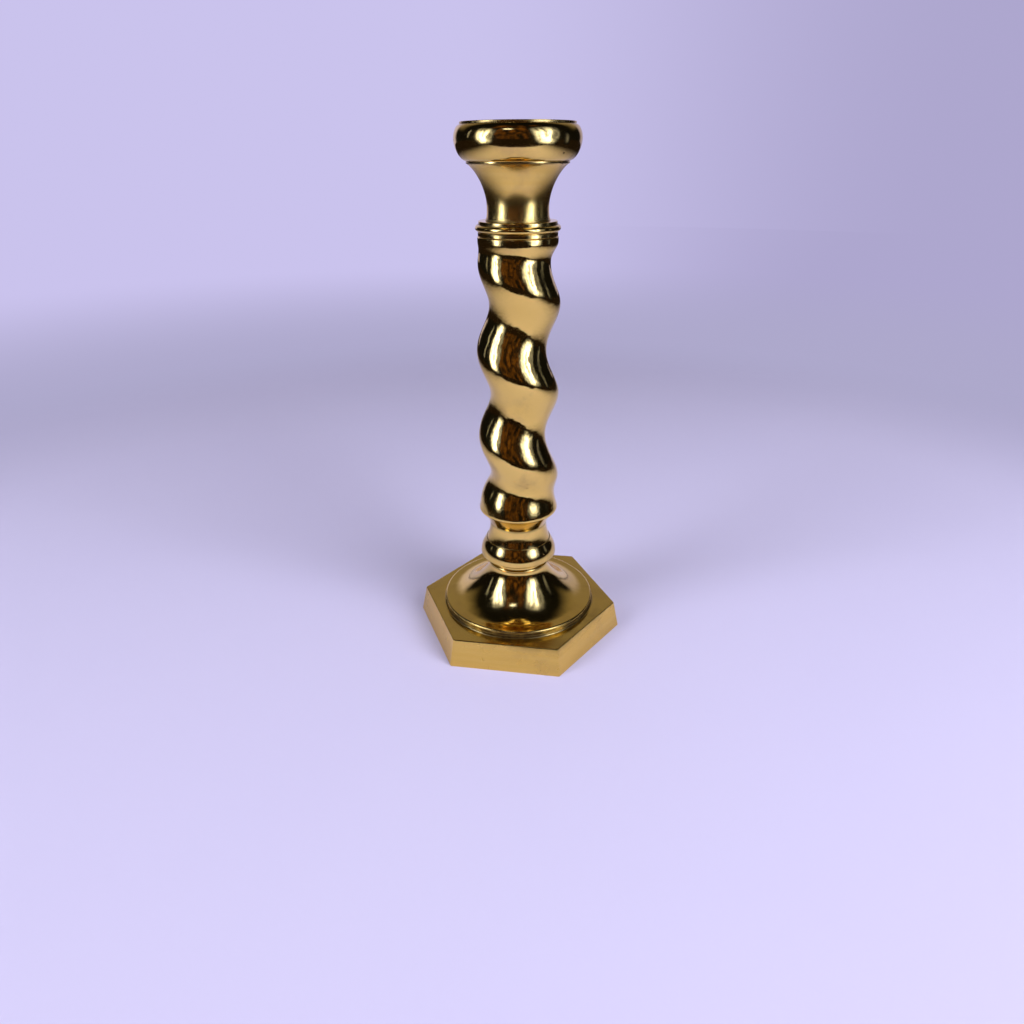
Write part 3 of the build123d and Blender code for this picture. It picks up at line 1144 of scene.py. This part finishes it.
@dataclass
class CandleCup(Section):
    """Cavetto cup with a torus rim, an upright lip, a dished top and the candle socket."""

    foot_radius: float = 13.2
    foot_near: Pair = (1.0, 0.25)
    foot_far: Pair = (1.0, 0.6)
    waist_radius: float = 12.53
    waist_height: float = 5.3
    cavetto_radius: float = 20.3
    cavetto_height: float = 20.7
    cavetto_near: Pair = (0.0, 0.4)
    cavetto_far: Pair = (0.54, 0.875)
    rim_fillet: float = 0.7
    rim_radius: float = 24.9
    rim_height: float = 29.2
    rim_near: Pair = (0.52, 0.08)
    rim_far: Pair = (1.0, 0.55)
    lip_radius: float = 22.4
    lip_height: float = 0.9
    lip_width: float = 1.3
    lip_near: Pair = (0.0, 0.45)
    lip_far: Pair = (0.44, 1.0)
    dish_depth: float = 4.2
    dish_corner: float = 3.6
    dish_slope: float = 0.3
    socket_radius: float = 11.3
    socket_depth: float = 20.0
    socket_round: float = 0.8
    floor_thickness: float = 1.8
    tapped_radius: float = 4.1
    soft: float = 0.2
    lip_satin: float = 0.8
    cavetto_satin: float = 0.75

    def mesh(self) -> Mesh:
        """Builds the cup from its tapped foot, up its outside and down into its socket.

        Returns:
            The mesh.
        """
        f = self.fits
        seat, top = f.cup_seat, f.cup_top
        cavetto = seat + self.cavetto_height
        dish_radius, dish = self.lip_radius - self.lip_width, top - self.dish_depth
        floor = dish - self.socket_depth
        half = Profile([(0.0, floor - self.floor_thickness)])
        half.across(self.tapped_radius, seat - f.spigot_height, f.spigot_radius, seat, self.foot_radius)
        half.bow(self.foot_near, self.foot_far, (self.waist_radius, seat + self.waist_height), steps=10)
        half.bow(self.cavetto_near, self.cavetto_far, (self.cavetto_radius, cavetto), steps=30)
        half.upright(cavetto + self.rim_fillet)
        half.bow(self.rim_near, self.rim_far, (self.rim_radius, seat + self.rim_height), steps=20)
        half.bow(self.lip_near, self.lip_far, (self.lip_radius, top - self.lip_height), steps=14)
        half.upright(top, dish_radius, dish + self.dish_corner)
        half.sweep((dish_radius, dish), (dish_radius - self.dish_corner, dish))
        half.across(self.socket_radius + self.socket_round)
        half.quarter((self.socket_radius, dish), (self.socket_radius, dish - self.socket_round))
        half.upright(floor, 0.0)
        return skin("cup_turning", half.rings(self.soft, False))

    def seams(self) -> list[Seam]:
        """Painted shade with some oxide at the rim's fillet, the lip's foot and the cup's foot.

        Returns:
            The seams.
        """
        f = self.fits
        return [
            Seam(self.cavetto_radius, f.cup_seat + self.cavetto_height, 0.45, 0.9),
            Seam(self.lip_radius, f.cup_top - self.lip_height, 0.6, 0.8),
            Seam(self.foot_radius, f.cup_seat, 0.7, 0.9),
        ]

    def inner_seams(self) -> list[Seam]:
        """Painted shade with some oxide in the dish's corner and down the socket.

        Returns:
            The seams.
        """
        dish = self.fits.cup_top - self.dish_depth
        return [
            Seam(self.lip_radius - self.lip_width, dish, 3.0, 0.5),
            # painted shade deep down the socket
            Seam(self.socket_radius, dish - self.socket_depth, 12.0, 0.8),
        ]

    def grime_and_shade(self, spot: Spot, facing: Vector) -> float:
        """Painted seam shade with some oxide, and the inner seams' own where the surface faces the axis or
        the dish's inside.

        Args:
            spot: The point.
            facing: Direction that the surface faces there.

        Returns:
            The dirt, from 0 to 1.
        """
        dished = facing.z > self.dish_slope and width(spot) < self.lip_radius - self.lip_width
        if dished or spot[0] * facing.x + spot[1] * facing.y < 0:
            return min(sum(seam.at(spot) for seam in self.inner_seams()), 1.0)
        return super().grime_and_shade(spot, facing)

    def satin(self, spot: Spot) -> float:
        """Dulled lip, soft cavetto, and a brighter polish on the rim."""
        lower = self.cavetto_satin if spot[2] < self.fits.cup_seat + self.cavetto_height else 0.0
        return self.lip_satin if spot[2] > self.fits.cup_top - self.lip_height / 2 else lower


@dataclass
class Hardware(Piece):
    """Steel piece on the axis, between two levels."""

    bottom: float
    top: float


@dataclass
class TieRod(Hardware):
    """Rod with an M8 thread cut on its two ends."""

    radius: float = 4.0
    pitch: float = 1.25
    depth: float = 0.72
    root: float = 0.2
    crest: float = 0.15
    lower_thread: float = 24.0
    upper_thread: float = 18.0
    chamfer: float = 0.8
    rows_per_turn: int = 10
    count: int = 40

    def groove(self, share: float) -> float:
        """Depth of the thread from crest to root, from 0 to 1, at a share of its pitch."""
        away = abs(share % 1.0 - 0.5) * 2
        return limited((1 - self.crest - away) / (1 - self.crest - self.root))

    def ring(self, height: float) -> Ring:
        """Level ring of the threaded or plain rod.

        Args:
            height: Level of the ring.

        Returns:
            The ring.
        """
        from_end = min(height - self.bottom, self.top - height)
        low = height - self.bottom < self.lower_thread
        thread = self.lower_thread if low else self.upper_thread
        cut = self.depth * ease((thread - from_end) / self.pitch)
        taper = self.radius - max(self.chamfer - from_end, 0.0)
        grooves = [self.groove(height / self.pitch - i / self.count) for i in range(self.count)]
        return uneven_ring([min(self.radius - groove * cut, taper) for groove in grooves], height)

    def mesh(self) -> Mesh:
        """Builds the rod with closely spaced rings on its threads.

        Returns:
            The mesh.
        """
        step = self.pitch / self.rows_per_turn
        lower = [self.bottom + step * i for i in range(int(self.lower_thread / step) + 1)]
        upper = [self.top - step * i for i in range(int(self.upper_thread / step) + 1)]
        rings = [self.ring(height) for height in lower + upper[::-1]]
        return skin("rod_threaded", [[(0.0, 0.0, self.bottom)], *rings, [(0.0, 0.0, self.top)]])


@dataclass
class PlainWasher(Hardware):
    """Flat washer under the web of the foot."""

    radius: float = 8.0
    hole_radius: float = 4.2
    edge_round: float = 0.3
    count: int = 96

    def mesh(self) -> Mesh:
        """Builds the washer with rolled edges.

        Returns:
            The mesh.
        """
        half = Profile([(self.hole_radius, self.bottom)])
        half.across(self.radius, self.top, self.hole_radius)
        return skin("washer_flat", half.rings(self.edge_round, True, self.count), closed=True)


@dataclass
class SpringWasher(Hardware):
    """Split washer, pressed flat by the nut."""

    radius: float = 7.2
    hole_radius: float = 4.2
    split: float = 1.2
    lean: float = 20.0
    edge_round: float = 0.3
    steps: int = 90

    def mesh(self) -> Mesh:
        """Builds the washer as a bar bent round, with leaning ends.

        Returns:
            The mesh.
        """
        section = Profile([(self.hole_radius, self.bottom)])
        section.across(self.radius, self.top, self.hole_radius)
        middle = (self.bottom + self.top) / 2
        loops = []
        for step in range(self.steps + 1):
            loop = []
            for r, z in section.softened(self.edge_round, True):
                gap = math.asin(self.split / 2 / r)
                slip = math.tan(math.radians(self.lean)) * (middle - z) / r
                turn = between(gap, math.tau - gap, step / self.steps) + slip
                loop.append((r * math.cos(turn), r * math.sin(turn), z))
            loops.append(loop)
        return skin("washer_split", loops, capped=True)


@dataclass
class HexNut(Hardware):
    """Hexagon nut with coned corners and a tapped hole."""

    flats: float = 13.0
    hole_radius: float = 4.1
    hole_chamfer: float = 0.6
    cone_inset: float = 0.2
    cone_angle: float = 30.0
    cone_height: float = 0.75
    cone_steps: int = 6
    sharp_angle: float = 35.0
    count: int = 96

    def ring(self, from_face: float, height: float) -> Ring:
        """Level ring of the nut's outside, coned near its faces.

        Args:
            from_face: Depth below the nearer face.
            height: Level of the ring.

        Returns:
            The ring.
        """
        cone = self.flats / 2 - self.cone_inset + from_face / math.tan(math.radians(self.cone_angle))
        turns = [math.tau * i / self.count for i in range(self.count)]
        sides = [self.flats / 2 / math.cos(turn % SIXTH - SIXTH / 2) for turn in turns]
        return uneven_ring([min(side, cone) for side in sides], height)

    def mesh(self) -> Mesh:
        """Builds the nut from its hole, round its outside and back.

        Returns:
            The mesh.
        """
        depths = [self.cone_height * i / self.cone_steps for i in range(self.cone_steps + 1)]
        wide = self.hole_radius + self.hole_chamfer
        rings = [
            circle(self.hole_radius, self.bottom + self.hole_chamfer, self.count),
            circle(wide, self.bottom, self.count),
            *(self.ring(depth, self.bottom + depth) for depth in depths),
            *(self.ring(depth, self.top - depth) for depth in reversed(depths)),
            circle(wide, self.top, self.count),
            circle(self.hole_radius, self.top - self.hole_chamfer, self.count),
        ]
        made = skin("nut_hexagon", rings, closed=True)
        made.set_sharp_from_angle(angle=math.radians(self.sharp_angle))
        return made


@dataclass
class View:
    """Camera at the photograph's place, from a fit to the stick's outline."""

    azimuth: float = 8.54
    distance: float = 304.7
    height: float = 218.7
    pitch: float = 27.22
    yaw: float = -0.58
    roll: float = -0.335
    focal_pixels: float = 699.8
    frame_pixels: float = 1024.0
    sensor: float = 36.0
    near_clip: float = 0.01

    def place(self) -> None:
        """Makes the camera and sets it as the scene's own."""
        data = bpy.data.cameras.new("photo_camera")
        data.sensor_width = self.sensor
        data.lens = self.sensor * self.focal_pixels / self.frame_pixels
        data.clip_start = self.near_clip
        made = put("photo_camera", data)
        yaw, pitch, roll = (math.radians(a) for a in (self.yaw, self.pitch, self.roll))
        ahead = Vector((math.sin(yaw) * math.cos(pitch), math.cos(yaw) * math.cos(pitch), -math.sin(pitch)))
        right = Vector((math.cos(yaw), -math.sin(yaw), 0.0))
        up = right.cross(ahead)
        tilted = math.cos(roll) * right + math.sin(roll) * up
        upright = math.cos(roll) * up - math.sin(roll) * right
        axes = Matrix((tilted, upright, -ahead)).transposed().to_4x4()
        axes.translation = Vector((0.0, -self.distance * MM, self.height * MM))
        made.matrix_world = Matrix.Rotation(math.radians(self.azimuth), 4, "Z") @ axes
        bpy.context.scene.camera = made


@dataclass(frozen=True)
class Softbox:
    """Upright light card that shows as a window in the metal. Bearings count from the camera's."""

    name: str
    bearing: float
    elevation: float
    distance: float
    width: float
    height: float
    strength: float
    colour: Colour = (0.50, 0.56, 1.0)
    soft: Pair = (0.3, 0.2)
    streaks: Spot = (6.0, 2.5, 1.0)
    streak_step: Pair = (0.35, 0.6)
    dimmest: float = 1.0
    mirrored: bool = True

    def material(self) -> bpy.types.Material:
        """Glowing card with soft borders.

        Returns:
            The material.
        """
        made = bpy.data.materials.new(self.name)
        s = Shader(made)
        place = s.place("Generated")
        sides = []
        for way, edge in zip(s.parts(place), self.soft):
            sides.append(s.step(s.math("ABSOLUTE", s.math("SUBTRACT", way, 0.5)), 0.5, 0.5 - edge))
        uneven = s.step(s.grain(place, self.streaks, detail=4.0, rough=0.6), *self.streak_step)
        level = s.times(s.ramp(uneven, self.dimmest, 1.0), self.strength)
        s.surface(s.glow(self.colour, s.times(s.times(*sides), level)))
        return made

    def place(self, azimuth: float, target: Vector) -> None:
        """Makes the card, facing the stick and hidden from the camera.

        Args:
            azimuth: The camera's own bearing, in degrees.
            target: Point that the card faces.
        """
        mesh = bpy.data.meshes.new(self.name)
        w, h = self.width / 2, self.height / 2
        mesh.from_pydata([(-w, -h, 0), (w, -h, 0), (w, h, 0), (-w, h, 0)], [], [(0, 1, 2, 3)])
        mesh.materials.append(self.material())
        made = put(self.name, mesh)
        turn, rise = math.radians(azimuth + self.bearing), math.radians(self.elevation)
        away = Vector((math.sin(turn) * math.cos(rise), -math.cos(turn) * math.cos(rise), math.sin(rise)))
        facing = away.to_track_quat("Z", "Y").to_matrix().to_4x4()
        made.matrix_world = Matrix.Translation(target + away * self.distance) @ facing
        made.visible_camera = False
        made.visible_shadow = False
        made.visible_glossy = self.mirrored
        made.visible_diffuse = not self.mirrored


@dataclass
class Studio:
    """Pale table with paper behind it, dim room round it, soft lights and the world."""

    azimuth: float
    table_colour: Colour = (0.82, 0.785, 0.97)
    # painted shade where the table turns up into the paper
    fold_shade_colour: Colour = (0.42, 0.395, 0.60)
    paper_colour: Colour = (0.59, 0.545, 0.845)
    shade_colour: Colour = (0.42, 0.385, 0.62)
    dark_colour: Colour = (0.005, 0.005, 0.005)
    wood_colour: Colour = (0.20, 0.085, 0.028)
    ceiling_colour: Colour = (0.24, 0.205, 0.18)
    table_radius: float = 2.2
    table_front: float = 0.29
    table_fade: Pair = (0.36, 0.62)
    paper_fade: Pair = (0.55, 1.35)
    side_fade: Pair = (0.1, 0.5)
    shade_across: Pair = (-0.1, 0.5)
    speck_scale: float = 9.0
    speck_share: float = 0.1
    streak_scale: float = 6.0
    streak_share: float = 0.08
    surround_lift: float = 0.001
    grain_scale: Spot = (5.0, 5.0, 1.6)
    grain_step: Pair = (0.42, 0.7)
    wood_behind: Pair = (-0.35, -0.75)
    wood_height: Pair = (0.95, 0.8)
    ceiling_bottom: Pair = (0.25, 0.45)
    ceiling_top: Pair = (0.9, 0.65)
    ceiling_behind: Pair = (0.35, 0.85)
    paper_behind: Pair = (0.74, 0.86)
    paper_height: Pair = (0.55, 0.25)
    target_height: float = 0.12
    softboxes: tuple[Softbox, ...] = (
        Softbox("window_left", -60.0, 23.0, 0.33, 0.20, 0.38, 14.5, soft=(0.48, 0.42), dimmest=0.08),
        Softbox("window_right", 50.0, 26.0, 0.29, 0.25, 0.40, 11.0, soft=(0.48, 0.42), dimmest=0.08),
        Softbox("pale_right", 95.0, 10.0, 0.6, 0.14, 0.4, 0.65, soft=(0.5, 0.5), dimmest=0.2),
        Softbox("door_gap", -96.0, 18.0, 1.2, 0.03, 0.6, 2.6),
        Softbox("ceiling_strip", -19.0, 51.6, 0.357, 0.095, 0.013, 10.0),
        Softbox("fill_left", -60.0, 25.0, 1.15, 0.66, 1.45, 6.0, colour=SKY, mirrored=False),
        Softbox("fill_right", 50.0, 25.0, 1.15, 1.0, 1.45, 6.9, colour=SKY, mirrored=False),
        Softbox("fill_top", 0.0, 80.0, 1.4, 1.6, 1.6, 0.5, colour=SKY, mirrored=False),
    )

    def from_camera(self, s: Shader, vector: Socket) -> Socket:
        """Coordinates turned so that Y points away from the camera."""
        return s.stretched(vector, (1.0, 1.0, 1.0), (0.0, 0.0, -math.radians(self.azimuth)))

    def level_aim(self, s: Shader, vector: Socket) -> Socket:
        """Direction of a vector seen from above, of length 1."""
        level = s.node("VectorMath", {0: vector, 1: (1.0, 1.0, 0.0)}, operation="MULTIPLY").outputs["Vector"]
        return s.node("VectorMath", {0: level}, operation="NORMALIZE").outputs["Vector"]

    def paper(self, s: Shader, aim: Socket) -> Socket:
        """Colour of the paper, which falls into shade towards the right."""
        across = s.step(s.parts(aim)["X"], *self.shade_across)
        return s.mix(across, self.paper_colour, self.shade_colour)

    def table(self) -> None:
        """Makes the pale table, which fades through a painted shade at the fold into the paper behind it."""
        made = bpy.data.materials.new("table_paper")
        s = Shader(made)
        place = s.place()
        specks = s.times(s.noise(place, self.speck_scale, detail=4.0), self.speck_share)
        near = s.node("BsdfDiffuse", {"Color": s.mix(specks, self.table_colour, self.paper_colour)})
        away = s.node("VectorMath", {0: place}, operation="LENGTH").outputs["Value"]
        paper = self.paper(s, self.level_aim(s, self.from_camera(s, place)))
        # beyond the table, a glow that starts with painted shade at the fold and turns into the paper
        far = s.glow(s.mix(s.step(away, *self.paper_fade), self.fold_shade_colour, paper))
        s.surface(s.blend(s.step(away, *self.table_fade), near, far))
        mesh = skin("table", [circle(self.table_radius / MM, 0.0), [(0.0, 0.0, 0.0)]])
        mesh.materials.append(made)
        put("table", mesh)

    def surround(self) -> None:
        """Makes the dark floor that only the metal reflects, crisp in front and soft at its sides."""
        made = bpy.data.materials.new("dark_surround")
        s = Shader(made)
        place = s.place()
        streaks = s.times(s.noise(place, self.streak_scale, detail=4.0, rough=0.6), self.streak_share)
        parts = s.parts(place)
        aside = s.step(s.math("ABSOLUTE", parts["X"]), *self.side_fade)
        dark = s.math("MAXIMUM", aside, s.math("LESS_THAN", parts["Y"], -self.table_front))
        glow = s.glow(s.mix(streaks, self.dark_colour, self.wood_colour))
        s.surface(s.blend(dark, s.node("BsdfTransparent"), glow))
        far, front, side = self.table_radius, -self.table_front, self.side_fade[0]
        outer = [(-far, -far), (far, -far), (far, far), (-far, far)]
        inner = [(-side, front), (side, front), (side, far), (-side, far)]
        lift = self.surround_lift / MM
        mesh = skin("dark_surround", [[(x / MM, y / MM, lift) for x, y in edge] for edge in (outer, inner)])
        mesh.materials.append(made)
        card = put("dark_surround", mesh)
        card.matrix_world = Matrix.Rotation(math.radians(self.azimuth), 4, "Z")
        card.visible_camera = False
        card.visible_diffuse = False
        card.visible_shadow = False

    def world(self) -> None:
        """Makes a dim room with pale paper behind the stick, and plain pale paper for the camera."""
        world = bpy.data.worlds.new("studio")
        bpy.context.scene.world = world
        s = Shader(world)
        aim = self.from_camera(s, s.place("Generated"))
        level = self.level_aim(s, aim)
        behind, height = s.parts(level)["Y"], s.parts(aim)["Z"]
        grain = s.step(s.grain(aim, self.grain_scale, detail=5.0, rough=0.65), *self.grain_step)
        wood = s.times(s.times(grain, s.step(behind, *self.wood_behind)), s.step(height, *self.wood_height))
        room = s.mix(wood, self.dark_colour, self.wood_colour)
        raised = s.times(s.step(height, *self.ceiling_bottom), s.step(height, *self.ceiling_top))
        room = s.mix(s.times(raised, s.step(behind, *self.ceiling_behind)), room, self.ceiling_colour)
        paper = self.paper(s, level)
        shown = s.times(s.step(behind, *self.paper_behind), s.step(height, *self.paper_height))
        colour = s.mix(s.node("LightPath").outputs["Is Camera Ray"], s.mix(shown, room, paper), paper)
        back = s.node("Background", {"Color": colour, "Strength": 1.0})
        s.node("OutputWorld", {"Surface": back.outputs[0]})

    def build(self) -> None:
        """Makes the table, its dark surround, the lights and the world."""
        self.table()
        self.surround()
        for softbox in self.softboxes:
            softbox.place(self.azimuth, Vector((0.0, 0.0, self.target_height)))
        self.world()


def levels(node: str) -> list[float]:
    """Lowest and highest level of a node's box."""
    return [corner.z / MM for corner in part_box(node)]


def main() -> None:
    """Loads the frame, builds each piece in order, then the camera and the studio."""
    logging.basicConfig(level=logging.INFO, format="%(name)s %(message)s")
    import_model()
    fits = Fits.from_frame()
    polished = BrassFinish("polished_brass_finish").material()
    cast = BrassFinish("cast_brass_finish", wave_depth=0.32, ripple_depth=0.16).material()
    satin = BrassFinish("satin_brass_finish", pit_share=0.07, film_share=0.22).material()
    drawn = SteelFinish("drawn_steel_finish", (0.42, 0.41, 0.40), (0.24, 0.23, 0.22)).material()
    plated = SteelFinish("zinc_plate_finish", (0.62, 0.61, 0.58), (0.40, 0.39, 0.36), rust_share=0.68)
    zinc = plated.material()
    pieces: list[Piece] = [
        Foot("foot", Body.STAND, Slot.SATIN, satin, fits),
        Knop("knop", Body.STAND, Slot.POLISHED, polished, fits),
        TwistStem("stem", Body.STAND, Slot.POLISHED, cast, fits),
        Collar("collar", Body.COLLAR, Slot.POLISHED, polished, fits),
        CandleCup("candle_cup", Body.CUP, Slot.POLISHED, polished, fits),
        TieRod("tie_rod", Body.STAND, Slot.ROD, drawn, *levels("tie_rod")),
        PlainWasher("plain_washer", Body.STAND, Slot.PLATED, zinc, *levels("plain_washer")),
        SpringWasher("spring_washer", Body.STAND, Slot.PLATED, zinc, *levels("spring_washer")),
        HexNut("hex_nut", Body.STAND, Slot.PLATED, zinc, *levels("hex_nut")),
    ]
    for piece in pieces:
        piece.dress()
    view = View()
    view.place()
    Studio(view.azimuth).build()
    bpy.context.scene.view_settings.view_transform = "Standard"


if __name__ == "__main__":
    main()
